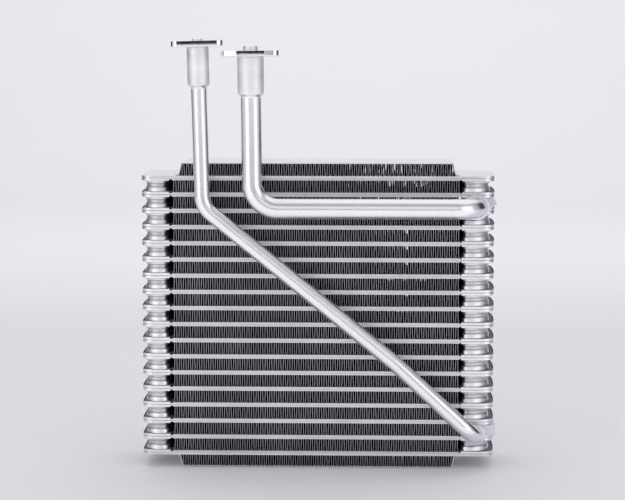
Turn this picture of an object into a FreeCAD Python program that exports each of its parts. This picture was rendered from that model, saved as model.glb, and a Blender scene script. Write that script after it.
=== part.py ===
import FreeCAD, Part
import math
import os

# Laminated evaporator core with two bent pipes.
# Millimetres. X runs along the fins, Y from the pipe side to the far side, Z up.
# The origin is the middle of the lower side plate's underside.

Vec = FreeCAD.Vector

# Core, as seen from above
core_length = 226.0
plate_depth = 58.0
left_tank_length = 18.4
right_tank_length = 20.4
tank_gap = 1.8
end_crown = 2.4
rim_corner_radius = 4.0
rim_corner_chord_count = 2

# Stack
level_count = 18
pair_thickness = 2.8
rim_thickness = 3.6
seam_flange_thickness = 1.0
end_plate_thickness = 1.5

# Drawn cups
cup_outer_inset = 4.0
cup_inner_inset = 0.7
cup_front_inset = 2.0
cup_corner_radius = 4.5
cup_corner_chord_count = 1
cup_draft = 0.7

# Corrugated fins
fin_height = 7.65
outer_fin_height = 7.3
fin_depth = 53.0
fin_fold_count = 40
fin_sheet_rise = 0.5
fin_end_gap = 0.4

# Side plates
side_plate_thickness = 0.8
side_plate_depth = 50.0
side_plate_length = 173.2
side_leg_run = 1.8
side_foot_length = 2.5
outer_fin_gap = 0.3

# Pipes: tube sizes, then the corners of each centre line
suction_diameter = 13.0
suction_wall = 1.3
suction_lean = 0.65
suction_leg_x = -39.8
suction_stand_off = 22.0
suction_bend_radius = 16.5
suction_elbow_radius = 15.0
suction_top_height = 265.2

liquid_diameter = 10.0
liquid_wall = 1.2
liquid_lean = 1.55
liquid_leg_x = -71.6
liquid_leg_foot_height = 170.5
liquid_stand_off = 19.0
liquid_bend_radius = 16.0
liquid_kink_x = 50.0
liquid_kink_height = 71.3
liquid_kink_radius = 45.0
liquid_elbow_radius = 12.0
liquid_top_height = 271.2

# Enlarged upper ends: body, shoulder and the nose that passes through the flange plate
suction_body_diameter = 16.7
suction_body_length = 22.5
suction_shoulder_length = 3.4
suction_nose_diameter = 9.2
suction_nose_bore = 6.4
suction_nose_reach = 2.8
liquid_body_diameter = 13.9
liquid_body_length = 23.0
liquid_shoulder_length = 3.4
liquid_nose_diameter = 6.6
liquid_nose_bore = 4.2
liquid_nose_reach = 1.2
body_edge_round = 0.6
shoulder_knee = 0.35

# Faceting of the round tubes: sides of the section, degrees of bend for each step
tube_sides = 18
bend_step = 22.5

# Flange plates
flange_thickness = 3.8
flange_depth = 20.0
flange_corner_radius = 4.5
flange_corner_chord_count = 2
flange_hole_clearance = 0.1
flange_bolt_hole = 6.4
suction_flange_length = 36.2
suction_flange_crown = 2.0
suction_bolt_spacing = 26.0
liquid_flange_length = 32.7
liquid_flange_crown = 0.3
liquid_bolt_spacing = 23.0

# Ports on the right tank, each under the level of this number from the top
port_inset = 11.4
port_drop = 2.0
port_boss_reach = 6.5
port_boss_wall = 1.8
port_seat_depth = 4.5
port_seat_clearance = 0.1
port_block_overhang = 1.6
port_block_back = 18.0
suction_port_level_count = 2
liquid_port_level_count = 16

# Levels and lengths that follow
half_length = core_length / 2
half_depth = plate_depth / 2
port_x = half_length - port_inset
level_pitch = pair_thickness + fin_height
lowest_seam = side_plate_thickness + outer_fin_height + end_plate_thickness
fin_zone_left = -half_length + left_tank_length + tank_gap
fin_zone_right = half_length - right_tank_length - tank_gap
neck_height = level_pitch - rim_thickness


def seam_height(level):
    """Height of the seam of one level, level 1 at the top."""
    return lowest_seam + (level_count - level) * level_pitch


def slab(face, bottom, thickness):
    """Solid plate from a flat face drawn at height zero."""
    plate = face.extrude(Vec(0, 0, thickness))
    plate.translate(Vec(0, 0, bottom))
    return plate


def closed(points):
    """Closed wire through the points."""
    return Part.makePolygon(points + points[:1])


def rectangle(left, right, depth):
    """Face that is centred on the core's middle line."""
    corners = [
        Vec(left, -depth / 2, 0),
        Vec(right, -depth / 2, 0),
        Vec(right, depth / 2, 0),
        Vec(left, depth / 2, 0),
    ]
    return Part.Face(closed(corners))


def corner(centre, radius, start_angle, chords):
    """Points of a quarter turn to the left, angles in degrees."""
    points = []
    for step in range(chords + 1):
        angle = math.radians(start_angle + 90 * step / chords)
        points.append(centre + Vec(radius * math.cos(angle), radius * math.sin(angle), 0))
    return points


def tank_outline(side, length):
    """Face of one tank end: crowned outer edge, round outer corners, straight inner edge."""
    radius = rim_corner_radius
    outer = half_length - end_crown
    inner = half_length - length
    right_front = Vec(outer - radius, -half_depth + radius, 0)
    right_back = Vec(outer - radius, half_depth - radius, 0)
    points = [Vec(inner, -half_depth, 0)]
    points += corner(right_front, radius, -90, rim_corner_chord_count)
    points.append(Vec(half_length, 0, 0))
    points += corner(right_back, radius, 0, rim_corner_chord_count)
    points.append(Vec(inner, half_depth, 0))
    if side < 0:
        points = [Vec(-point.x, point.y, 0) for point in reversed(points)]
    return Part.Face(closed(points))


def rounded_outline(left, right, half_width, radius, height):
    """Points round a rectangle with cut corners, centred on the core's middle line."""
    front = -half_width + radius
    back = half_width - radius
    points = []
    points += corner(Vec(right - radius, front, height), radius, -90, cup_corner_chord_count)
    points += corner(Vec(right - radius, back, height), radius, 0, cup_corner_chord_count)
    points += corner(Vec(left + radius, back, height), radius, 90, cup_corner_chord_count)
    points += corner(Vec(left + radius, front, height), radius, 180, cup_corner_chord_count)
    return points


def skin(outlines):
    """Solid with flat faces through a row of outlines that have the same number of points."""
    faces = [Part.Face(closed(outlines[0])), Part.Face(closed(outlines[-1]))]
    for first, second in zip(outlines, outlines[1:]):
        for i in range(len(first)):
            faces.append(Part.Face(closed([first[i - 1], first[i], second[i], second[i - 1]])))
    solid = Part.Solid(Part.Shell(faces))
    if solid.Volume < 0:
        solid.reverse()
    return solid


def tank_length(side):
    """Length of the tank on the left (-1) or the right (+1)."""
    return left_tank_length if side < 0 else right_tank_length


def cup_span(side):
    """Left and right limits of a cup's foot."""
    outer = side * (half_length - cup_outer_inset)
    inner = side * (half_length - tank_length(side) + cup_inner_inset)
    return min(outer, inner), max(outer, inner)


def cup(side, direction, seam):
    """Drawn cup from the rim's face to the middle of the neck, up (+1) or down (-1)."""
    left, right = cup_span(side)
    foot_height = seam + direction * rim_thickness / 2
    mouth_height = foot_height + direction * neck_height / 2
    half_width = half_depth - cup_front_inset
    foot = rounded_outline(left, right, half_width, cup_corner_radius, foot_height)
    mouth = rounded_outline(
        left + cup_draft,
        right - cup_draft,
        half_width - cup_draft,
        cup_corner_radius - cup_draft,
        mouth_height,
    )
    return skin([foot, mouth])


def flow_plates(seam, below, above, cups):
    """Stamped plates of one level: below and above are the parts of the thickness kept."""
    def layer(face, thickness):
        bottom = seam - below * thickness / 2
        return slab(face, bottom, (below + above) * thickness / 2)

    pieces = [
        layer(tank_outline(-1, left_tank_length), rim_thickness),
        layer(tank_outline(1, right_tank_length), rim_thickness),
        layer(rectangle(fin_zone_left, fin_zone_right, plate_depth), pair_thickness),
    ]
    for side, inner in ((-1, fin_zone_left), (1, fin_zone_right)):
        tank_edge = side * (half_length - tank_length(side))
        ends = sorted((tank_edge, inner))
        pieces.append(layer(rectangle(ends[0], ends[1], plate_depth), seam_flange_thickness))
    pieces.extend(cup(side, direction, seam) for side, direction in cups)
    return pieces[0].multiFuse(pieces[1:]).removeSplitter()


def end_plate(bottom):
    """Flat sheet with the outline of the whole level."""
    pieces = [
        slab(tank_outline(-1, half_length), bottom, end_plate_thickness),
        slab(tank_outline(1, half_length), bottom, end_plate_thickness),
    ]
    return pieces[0].fuse(pieces[1]).removeSplitter()


def corrugated_fin(left, right, bottom, height, folds):
    """Folded strip whose crests touch the faces below and above it."""
    step = (right - left) / folds
    low = bottom
    high = bottom + height - fin_sheet_rise
    under = [Vec(left + i * step, 0, high if i % 2 else low) for i in range(folds + 1)]
    over = [point + Vec(0, 0, fin_sheet_rise) for point in reversed(under)]
    strip = Part.Face(closed(under + over))
    strip.translate(Vec(0, -fin_depth / 2, 0))
    return strip.extrude(Vec(0, fin_depth, 0))


def side_plate():
    """Lower side plate: flat sheet, slanted legs and short feet against the end plate."""
    foot_top = lowest_seam - end_plate_thickness
    sheet = side_plate_thickness
    half = side_plate_length / 2
    reach = half + side_leg_run
    tip = reach + side_foot_length
    outside = [
        Vec(half, 0, 0),
        Vec(reach, 0, foot_top - sheet),
        Vec(tip, 0, foot_top - sheet),
        Vec(tip, 0, foot_top),
        Vec(reach - sheet, 0, foot_top),
        Vec(half - sheet, 0, sheet),
    ]
    other = [Vec(-point.x, 0, point.z) for point in reversed(outside)]
    sheet_face = Part.Face(closed(outside + other))
    sheet_face.translate(Vec(0, -side_plate_depth / 2, 0))
    return sheet_face.extrude(Vec(0, side_plate_depth, 0))


def turned_over(shape):
    """The same piece at the top of the core, turned about the Y axis."""
    top = 2 * lowest_seam + (level_count - 1) * level_pitch
    other = shape.copy()
    other.rotate(Vec(0, 0, top / 2), Vec(0, 1, 0), 180)
    return other


def ring(centre, direction, radius):
    """Points of a round section square to a direction in the plane of the pipes' legs."""
    across = Vec(0, 1, 0)
    side = across.cross(direction)
    points = []
    for i in range(tube_sides):
        angle = 2 * math.pi * i / tube_sides
        points.append(centre + side * (radius * math.cos(angle)) + across * (radius * math.sin(angle)))
    return points


def turned_about(points, centre, axis, angle):
    """The points turned about an axis, angle in radians."""
    turn = FreeCAD.Rotation(axis, math.degrees(angle))
    return [centre + turn.multVec(point - centre) for point in points]


def tube_rings(points, bends, radius):
    """Sections of a tube along straight runs joined by tangent bends."""
    section = ring(points[0], (points[1] - points[0]).normalize(), radius)
    rings = [section]
    start = points[0]
    for before, turn, after, bend in zip(points, points[1:], points[2:], bends):
        inward = (turn - before).normalize()
        outward = (after - turn).normalize()
        angle = inward.getAngle(outward)
        tangent = bend * math.tan(angle / 2)
        bend_start = turn - inward * tangent
        axis = inward.cross(outward).normalize()
        centre = bend_start + axis.cross(inward) * bend
        section = [point + bend_start - start for point in section]
        rings.append(section)
        steps = math.ceil(math.degrees(angle) / bend_step)
        for _ in range(steps):
            section = turned_about(section, centre, axis, angle / steps)
            rings.append(section)
        start = turn + outward * tangent
    rings.append([point + points[-1] - start for point in section])
    return rings


def leg_direction(lean):
    """Unit vector up a leg that leans to the left by this angle in degrees."""
    angle = math.radians(lean)
    return Vec(-math.sin(angle), 0, math.cos(angle))


def leg_point(foot, lean, height):
    """Point of a leaning leg at this height."""
    direction = leg_direction(lean)
    return foot + direction * ((height - foot.z) / direction.z)


def bent_tube(points, bends, diameter, wall):
    """Open tube along straight runs and bends."""
    outside = skin(tube_rings(points, bends, diameter / 2))
    inside = skin(tube_rings(points, bends, diameter / 2 - wall))
    return outside.cut(inside)


def pipe_end(top, diameter, wall, body, direction):
    """Enlarged end on a tube: body, shoulder and a nose that passes through the flange plate."""
    body_diameter, body_length, shoulder, nose_diameter, nose_bore, nose_reach = body
    tube = diameter / 2
    large = body_diameter / 2
    foot = -body_length - shoulder
    knee = -body_length - shoulder * (1 - shoulder_knee)
    knee_radius = large - (large - tube) * shoulder_knee

    def rings(steps):
        return [ring(top + direction * height, -direction, radius) for radius, height in steps]

    outside = rings(
        [
            (large - body_edge_round, 0),
            (large, -body_edge_round),
            (large, -body_length),
            (knee_radius, knee),
            (tube, foot),
        ]
    )
    inside = rings(
        [(large - wall, -2 * wall), (large - wall, -body_length), (tube - wall, foot)]
    )
    nose_top = flange_thickness + nose_reach
    nose = Part.makeCylinder(nose_diameter / 2, nose_top, top, direction)
    bore_foot = top - direction * (3 * wall)
    bore = Part.makeCylinder(nose_bore / 2, nose_top + 3 * wall, bore_foot, direction)
    return skin(outside).fuse(nose).cut(skin(inside).fuse(bore)).removeSplitter()


def tube_path(points, body, direction):
    """Corners of the bent tube, which starts at the foot of the enlarged end's shoulder."""
    _, body_length, shoulder, _, _, _ = body
    return [points[0] - direction * (body_length + shoulder)] + points[1:]


def flange_plate(length, crown, hole_diameter, spacing, seat, direction):
    """Plate square to the pipe, with crowned long sides, a pipe hole and two bolt holes."""
    radius = flange_corner_radius
    half = length / 2
    shoulder = flange_depth / 2 - crown
    centre_x = half - radius
    centre_y = shoulder - radius
    outline = corner(Vec(centre_x, -centre_y, 0), radius, -90, flange_corner_chord_count)
    outline += corner(Vec(centre_x, centre_y, 0), radius, 0, flange_corner_chord_count)
    outline += crowned_side(centre_x, shoulder, crown)
    outline += corner(Vec(-centre_x, centre_y, 0), radius, 90, flange_corner_chord_count)
    outline += corner(Vec(-centre_x, -centre_y, 0), radius, 180, flange_corner_chord_count)
    outline += [Vec(-point.x, -point.y, 0) for point in crowned_side(centre_x, shoulder, crown)]
    plate = slab(Part.Face(closed(outline)), 0, flange_thickness)
    holes = [(0, hole_diameter), (-spacing / 2, flange_bolt_hole), (spacing / 2, flange_bolt_hole)]
    for x, diameter in holes:
        drill = Part.makeCylinder(diameter / 2, flange_thickness, Vec(x, 0, 0))
        plate = plate.cut(drill)
    plate.Placement = FreeCAD.Placement(seat, FreeCAD.Rotation(Vec(0, 0, 1), direction))
    return plate


def crowned_side(half, shoulder, crown):
    """Points between the ends of a crowned side, from the right end to the left."""
    points = []
    for share in (0.5, 0, -0.5):
        points.append(Vec(half * share, shoulder + crown * (1 - share * share), 0))
    return points


def port_height(level):
    """Height of a port's round boss, just under the middle of the neck below this level."""
    return seam_height(level) - level_pitch / 2 - port_drop


def port(level, path, bends, pipe_diameter):
    """Adapter in the neck below this level: a block between the rims and a boss for the pipe."""
    neck_bottom = seam_height(level + 1) + rim_thickness / 2
    left = half_length - right_tank_length + cup_inner_inset
    right = half_length + port_block_overhang
    outline = rounded_outline(left, right, half_depth, cup_corner_radius, 0)
    block = slab(Part.Face(closed(outline)), neck_bottom, neck_height)
    spare = Part.makeBox(core_length, plate_depth, plate_depth)
    spare.translate(Vec(0, port_block_back, neck_bottom - plate_depth / 2))
    block = block.cut(spare)
    boss_radius = pipe_diameter / 2 + port_boss_wall
    seat_radius = (pipe_diameter + port_seat_clearance) / 2
    boss_end = tube_rings(path, bends, boss_radius)[-1]
    boss_mouth = [Vec(point.x, -half_depth - port_boss_reach, point.z) for point in boss_end]
    boss_root = [Vec(point.x, -half_depth, point.z) for point in boss_end]
    seat = skin(tube_rings(path, bends, seat_radius)[-2:])
    return block.fuse(skin([boss_mouth, boss_root])).cut(seat).removeSplitter()


def build():
    """Every piece by its name."""
    pieces = {}
    top = 1
    bottom = level_count
    both = ((-1, 1), (-1, -1), (1, 1), (1, -1))
    port_gaps = {
        suction_port_level_count: (1, -1),
        suction_port_level_count + 1: (1, 1),
        liquid_port_level_count: (1, -1),
        liquid_port_level_count + 1: (1, 1),
    }

    pieces["end_plate_top"] = end_plate(seam_height(top))
    pieces["flow_plate_top"] = flow_plates(seam_height(top), 1, 0, ((-1, -1), (1, -1)))
    for level in range(2, level_count):
        cups = [place for place in both if place != port_gaps.get(level)]
        pieces[f"flow_plate_pair_{level:02d}"] = flow_plates(seam_height(level), 1, 1, cups)
    pieces["flow_plate_bottom"] = flow_plates(seam_height(bottom), 0, 1, ((-1, 1), (1, 1)))
    pieces["end_plate_bottom"] = end_plate(seam_height(bottom) - end_plate_thickness)

    fin_left = fin_zone_left + fin_end_gap
    fin_right = fin_zone_right - fin_end_gap
    for gap in range(1, level_count):
        floor = seam_height(gap + 1) + pair_thickness / 2
        name = f"fin_{gap + 1:02d}"
        pieces[name] = corrugated_fin(fin_left, fin_right, floor, fin_height, fin_fold_count)
    outer_half = side_plate_length / 2 - side_plate_thickness - outer_fin_gap
    fold_length = (fin_right - fin_left) / fin_fold_count
    outer_folds = 2 * round(outer_half / fold_length)
    outer_fin = corrugated_fin(
        -outer_half, outer_half, side_plate_thickness, outer_fin_height, outer_folds
    )
    pieces[f"fin_{level_count + 1:02d}"] = outer_fin
    pieces["fin_01"] = turned_over(outer_fin)
    pieces["side_plate_bottom"] = side_plate()
    pieces["side_plate_top"] = turned_over(pieces["side_plate_bottom"])

    seat_y = -half_depth - port_boss_reach + port_seat_depth
    suction_y = -half_depth - suction_stand_off
    suction_height = port_height(suction_port_level_count)
    suction_foot = Vec(suction_leg_x, suction_y, suction_height)
    suction_up = leg_direction(suction_lean)
    suction_top = leg_point(suction_foot, suction_lean, suction_top_height)
    suction_path = [
        suction_top,
        suction_foot,
        Vec(port_x, suction_y, suction_height),
        Vec(port_x, seat_y, suction_height),
    ]
    suction_bends = [suction_bend_radius, suction_elbow_radius]
    suction_body = (
        suction_body_diameter,
        suction_body_length,
        suction_shoulder_length,
        suction_nose_diameter,
        suction_nose_bore,
        suction_nose_reach,
    )
    pieces["suction_pipe"] = bent_tube(
        tube_path(suction_path, suction_body, suction_up),
        suction_bends,
        suction_diameter,
        suction_wall,
    )
    pieces["suction_pipe_end"] = pipe_end(
        suction_top, suction_diameter, suction_wall, suction_body, suction_up
    )
    pieces["suction_flange"] = flange_plate(
        suction_flange_length,
        suction_flange_crown,
        suction_nose_diameter + flange_hole_clearance,
        suction_bolt_spacing,
        suction_top,
        suction_up,
    )
    pieces["suction_port"] = port(
        suction_port_level_count, suction_path, suction_bends, suction_diameter
    )

    liquid_y = -half_depth - liquid_stand_off
    liquid_height = port_height(liquid_port_level_count)
    liquid_foot = Vec(liquid_leg_x, liquid_y, liquid_leg_foot_height)
    liquid_up = leg_direction(liquid_lean)
    liquid_top = leg_point(liquid_foot, liquid_lean, liquid_top_height)
    liquid_path = [
        liquid_top,
        liquid_foot,
        Vec(liquid_kink_x, liquid_y, liquid_kink_height),
        Vec(port_x, liquid_y, liquid_height),
        Vec(port_x, seat_y, liquid_height),
    ]
    liquid_bends = [liquid_bend_radius, liquid_kink_radius, liquid_elbow_radius]
    liquid_body = (
        liquid_body_diameter,
        liquid_body_length,
        liquid_shoulder_length,
        liquid_nose_diameter,
        liquid_nose_bore,
        liquid_nose_reach,
    )
    pieces["liquid_pipe"] = bent_tube(
        tube_path(liquid_path, liquid_body, liquid_up),
        liquid_bends,
        liquid_diameter,
        liquid_wall,
    )
    pieces["liquid_pipe_end"] = pipe_end(
        liquid_top, liquid_diameter, liquid_wall, liquid_body, liquid_up
    )
    pieces["liquid_flange"] = flange_plate(
        liquid_flange_length,
        liquid_flange_crown,
        liquid_nose_diameter + flange_hole_clearance,
        liquid_bolt_spacing,
        liquid_top,
        liquid_up,
    )
    pieces["liquid_port"] = port(liquid_port_level_count, liquid_path, liquid_bends, liquid_diameter)
    return pieces


os.makedirs("parts", exist_ok=True)
for name, shape in build().items():
    shape.exportStep(f"parts/{name}.step")
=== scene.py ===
import logging
import math
import random
from collections.abc import Callable, Iterator
from contextlib import contextmanager
from dataclasses import dataclass
from enum import Enum

import bmesh
import bpy
from mathutils import Matrix, Vector


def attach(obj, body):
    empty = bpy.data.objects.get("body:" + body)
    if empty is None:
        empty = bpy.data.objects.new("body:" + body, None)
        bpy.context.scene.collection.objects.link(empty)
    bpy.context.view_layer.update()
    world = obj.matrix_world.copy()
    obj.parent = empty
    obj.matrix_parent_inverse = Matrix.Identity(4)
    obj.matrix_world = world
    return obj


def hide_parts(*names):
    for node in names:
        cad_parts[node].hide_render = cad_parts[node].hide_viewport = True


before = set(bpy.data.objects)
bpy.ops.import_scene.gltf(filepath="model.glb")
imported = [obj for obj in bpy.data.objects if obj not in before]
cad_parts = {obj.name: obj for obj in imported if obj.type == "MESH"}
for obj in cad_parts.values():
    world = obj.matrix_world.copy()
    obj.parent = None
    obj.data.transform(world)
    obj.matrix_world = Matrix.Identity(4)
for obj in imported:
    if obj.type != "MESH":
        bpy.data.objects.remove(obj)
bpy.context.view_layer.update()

log = logging.getLogger("evaporator_core")

Triple = tuple[float, float, float]
Colour = tuple[float, float, float]

# One millimetre in metres
MM = 0.001
# Places this close, in millimetres, are the same
NEAR = 0.05
# From this share on, a unit vector counts as running along an axis
ALONG = 0.9


class Side(Enum):
    """End of the core, seen from the pipe side."""

    LEFT = -1
    RIGHT = 1


class Half(Enum):
    """Stamped plate of a pair: the one above the seam or the one below it."""

    UPPER = 1
    LOWER = -1


# Shaping


class Workpiece:
    """Mesh object that is shaped with operators, all sizes in millimetres."""

    SHARP = 0.6
    DOUBLES = 0.002

    def __init__(self, obj: bpy.types.Object) -> None:
        """Takes over an object.

        Args:
            obj: The mesh object to shape.
        """
        self.obj = obj

    @classmethod
    def _new(cls, name: str) -> "Workpiece":
        """Names the primitive just added and puts its place into its mesh.

        Args:
            name: Name of the object.

        Returns:
            The new workpiece.
        """
        bpy.ops.object.transform_apply(location=True, rotation=True, scale=True)
        obj = bpy.context.active_object
        obj.name = name
        obj.data.name = name
        return cls(obj)

    @classmethod
    def block(cls, name: str, low: Triple, high: Triple) -> "Workpiece":
        """Adds a cube primitive between two corners.

        Args:
            name: Name of the object.
            low: Lowest corner.
            high: Highest corner.

        Returns:
            The new workpiece.
        """
        bpy.ops.object.select_all(action="DESELECT")
        size = (Vector(high) - Vector(low)) * MM
        middle = (Vector(high) + Vector(low)) / 2 * MM
        bpy.ops.mesh.primitive_cube_add(size=1.0, location=middle, scale=size)
        return cls._new(name)

    @classmethod
    def sheet(cls, name: str, left: float, right: float, depth: float) -> "Workpiece":
        """Adds a plane primitive at height zero, centred on the middle line.

        Args:
            name: Name of the object.
            left: Lowest X.
            right: Highest X.
            depth: Size along Y.

        Returns:
            The new workpiece.
        """
        bpy.ops.object.select_all(action="DESELECT")
        bpy.ops.mesh.primitive_plane_add(size=1.0, location=((left + right) / 2 * MM, 0.0, 0.0))
        bpy.context.active_object.scale = ((right - left) * MM, depth * MM, 1.0)
        return cls._new(name)

    @classmethod
    def hoop(
        cls, name: str, place: Vector, axis: Vector, radius: float, sides: int
    ) -> "Workpiece":
        """Adds an open circle primitive.

        Args:
            name: Name of the object.
            place: Its centre.
            axis: Direction square to it.
            radius: Its radius.
            sides: Its number of edges.

        Returns:
            The new workpiece.
        """
        bpy.ops.object.select_all(action="DESELECT")
        bpy.ops.mesh.primitive_circle_add(
            vertices=sides,
            radius=radius * MM,
            fill_type="NOTHING",
            location=place * MM,
            rotation=axis.to_track_quat("Z", "Y").to_euler(),
        )
        return cls._new(name)

    @classmethod
    def drum(cls, name: str, foot: Vector, top: Vector, radius: float, sides: int) -> "Workpiece":
        """Adds a cylinder primitive between two points.

        Args:
            name: Name of the object.
            foot: Middle of one end.
            top: Middle of the other end.
            radius: Its radius.
            sides: Its number of sides.

        Returns:
            The new workpiece.
        """
        bpy.ops.object.select_all(action="DESELECT")
        bpy.ops.mesh.primitive_cylinder_add(
            vertices=sides,
            radius=radius * MM,
            depth=(top - foot).length * MM,
            location=(foot + top) / 2 * MM,
            rotation=(top - foot).to_track_quat("Z", "Y").to_euler(),
        )
        return cls._new(name)

    @contextmanager
    def editing(self) -> Iterator[None]:
        """Edit mode on this piece alone.

        Returns:
            The context, for a with statement.
        """
        self.activate()
        bpy.ops.object.mode_set(mode="EDIT")
        try:
            yield
        finally:
            bpy.ops.object.mode_set(mode="OBJECT")

    def activate(self) -> None:
        """Selects this object alone and makes it the active one."""
        bpy.ops.object.select_all(action="DESELECT")
        self.obj.select_set(True)
        bpy.context.view_layer.objects.active = self.obj

    def _choose(self, kind: str, test: Callable[..., bool]) -> None:
        """Makes a fresh selection in edit mode.

        Args:
            kind: VERT, EDGE or FACE.
            test: Says of an element of that kind whether it is wanted.
        """
        bpy.ops.mesh.select_mode(type=kind)
        bpy.ops.mesh.select_all(action="DESELECT")
        cage = bmesh.from_edit_mesh(self.obj.data)
        cage.normal_update()
        for element in {"VERT": cage.verts, "EDGE": cage.edges, "FACE": cage.faces}[kind]:
            if test(element):
                element.select_set(True)
        cage.select_flush_mode()
        bmesh.update_edit_mesh(self.obj.data)

    @staticmethod
    def _ends(edge: bmesh.types.BMEdge) -> tuple[Vector, Vector]:
        """Middle of an edge in millimetres and its direction."""
        start, end = (vert.co for vert in edge.verts)
        return (start + end) / 2 / MM, (end - start).normalized()

    def faces(self, test: Callable[[Vector, Vector], bool]) -> None:
        """Selects faces by their middle and normal.

        Args:
            test: Says whether a face is wanted.
        """
        self._choose("FACE", lambda face: test(face.calc_center_median() / MM, face.normal))

    def edges(self, test: Callable[[Vector, Vector], bool]) -> None:
        """Selects edges by their middle and direction.

        Args:
            test: Says whether an edge is wanted.
        """
        self._choose("EDGE", lambda edge: test(*self._ends(edge)))

    def points(self, test: Callable[[Vector], bool]) -> None:
        """Selects points by their place.

        Args:
            test: Says whether a point is wanted.
        """
        self._choose("VERT", lambda vert: test(vert.co / MM))

    def open_edges(self) -> None:
        """Selects the edges that have only one face."""
        self._choose("EDGE", lambda edge: len(edge.link_faces) < 2)

    def sharp_edges(self, test: Callable[[Vector], bool]) -> None:
        """Selects edges whose two faces meet at more than the sharp angle.

        Args:
            test: Says by its middle whether an edge is wanted.
        """
        self._choose(
            "EDGE",
            lambda edge: edge.calc_face_angle(0.0) > self.SHARP and test(self._ends(edge)[0]),
        )

    def cut(self, axis: int, places: list[float]) -> None:
        """Cuts the whole mesh by planes square to one axis.

        Args:
            axis: 0, 1 or 2 for X, Y or Z.
            places: Where the planes cross that axis.
        """
        normal = Vector((axis == 0, axis == 1, axis == 2))
        for place in places:
            bpy.ops.mesh.select_all(action="SELECT")
            bpy.ops.mesh.bisect(plane_co=normal * place * MM, plane_no=normal)

    @staticmethod
    def extrude(offset: Triple) -> None:
        """Extrudes what is selected by an offset."""
        bpy.ops.mesh.extrude_region_move(TRANSFORM_OT_translate={"value": Vector(offset) * MM})

    @staticmethod
    def slide(offset: Triple) -> None:
        """Moves what is selected by an offset."""
        bpy.ops.transform.translate(value=Vector(offset) * MM)

    @staticmethod
    def stretch(factors: Triple, about: Vector) -> None:
        """Resizes what is selected about a point."""
        bpy.ops.transform.resize(value=factors, center_override=about * MM)

    @staticmethod
    def inset(thickness: float, depth: float) -> None:
        """Insets the selected faces and lifts them."""
        bpy.ops.mesh.inset(thickness=thickness * MM, depth=depth * MM)

    @staticmethod
    def bevel(width: float, segments: int) -> None:
        """Rounds the selected edges."""
        bpy.ops.mesh.bevel(offset=width * MM, segments=segments, affect="EDGES")

    def tidy(self) -> None:
        """Merges doubles and points every face outwards."""
        with self.editing():
            bpy.ops.mesh.select_all(action="SELECT")
            bpy.ops.mesh.remove_doubles(threshold=self.DOUBLES * MM)
            bpy.ops.mesh.normals_make_consistent(inside=False)

    def modify(self, kind: str, **values: object) -> None:
        """Adds a modifier and applies it.

        Args:
            kind: The modifier's type.
            **values: Its settings.
        """
        self.activate()
        modifier = self.obj.modifiers.new(kind.lower(), kind)
        for key, value in values.items():
            setattr(modifier, key, value)
        bpy.ops.object.modifier_apply(modifier=modifier.name)

    def ease(self, width: float, segments: int, angle: float = 1.0) -> None:
        """Rounds every edge that is sharper than an angle.

        Args:
            width: Width of the round.
            segments: Its number of faces.
            angle: The angle, in radians.
        """
        self.modify(
            "BEVEL", width=width * MM, segments=segments, limit_method="ANGLE", angle_limit=angle
        )

    def drill(self, tool: "Workpiece") -> None:
        """Takes the shape of a tool out of this piece and removes the tool.

        Args:
            tool: The workpiece to cut with.
        """
        self.modify("BOOLEAN", object=tool.obj, operation="DIFFERENCE", solver="EXACT")
        tool.discard()

    def join(self, others: list["Workpiece"]) -> None:
        """Takes the meshes of other workpieces into this one.

        Args:
            others: The workpieces that go.
        """
        self.activate()
        for other in others:
            other.obj.select_set(True)
        bpy.ops.object.join()

    def copy(self, name: str, offset: Triple = (0.0, 0.0, 0.0)) -> "Workpiece":
        """Copies the piece with a mesh of its own.

        Args:
            name: Name of the copy.
            offset: How far the copy moves.

        Returns:
            The copy.
        """
        obj = self.obj.copy()
        obj.data = self.obj.data.copy()
        obj.name = name
        obj.data.name = name
        bpy.context.collection.objects.link(obj)
        obj.data.transform(Matrix.Translation(Vector(offset) * MM))
        return Workpiece(obj)

    def seat(self, turn: Matrix) -> None:
        """Puts the piece in place by a matrix and applies it.

        Args:
            turn: Where the piece goes, in metres.
        """
        self.obj.matrix_world = turn
        self.activate()
        bpy.ops.object.transform_apply(location=True, rotation=True, scale=True)

    def turn_over(self, height: float) -> None:
        """Mirrors the piece in a level plane.

        Args:
            height: The plane's height.
        """
        with self.editing():
            bpy.ops.mesh.select_all(action="SELECT")
            self.stretch((1.0, 1.0, -1.0), Vector((0.0, 0.0, height)))
            bpy.ops.mesh.normals_make_consistent(inside=False)

    def smooth(self, angle: float = 32.0) -> None:
        """Shades the piece smooth, except over edges sharper than an angle in degrees."""
        self.activate()
        bpy.ops.object.shade_smooth_by_angle(angle=math.radians(angle))

    def settle(self) -> None:
        """Lets the large faces set the shading, so that flats stay flat beside rounded edges."""
        self.modify("WEIGHTED_NORMAL", weight=100, keep_sharp=True)

    def dress(self, finish: bpy.types.Material, slot: str, nodes: list[str]) -> None:
        """Gives the piece its finish and its body, and hides the CAD nodes that it stands for.

        Args:
            finish: The material.
            slot: Not used.
            nodes: The CAD nodes that the piece replaces.
        """
        self.obj.data.materials.clear()
        self.obj.data.materials.append(finish)
        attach(self.obj, "root")
        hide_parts(*nodes)

    def discard(self) -> None:
        """Removes a pattern or a tool that is no longer needed."""
        mesh = self.obj.data
        bpy.data.objects.remove(self.obj)
        bpy.data.meshes.remove(mesh)


# Sizes


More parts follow.
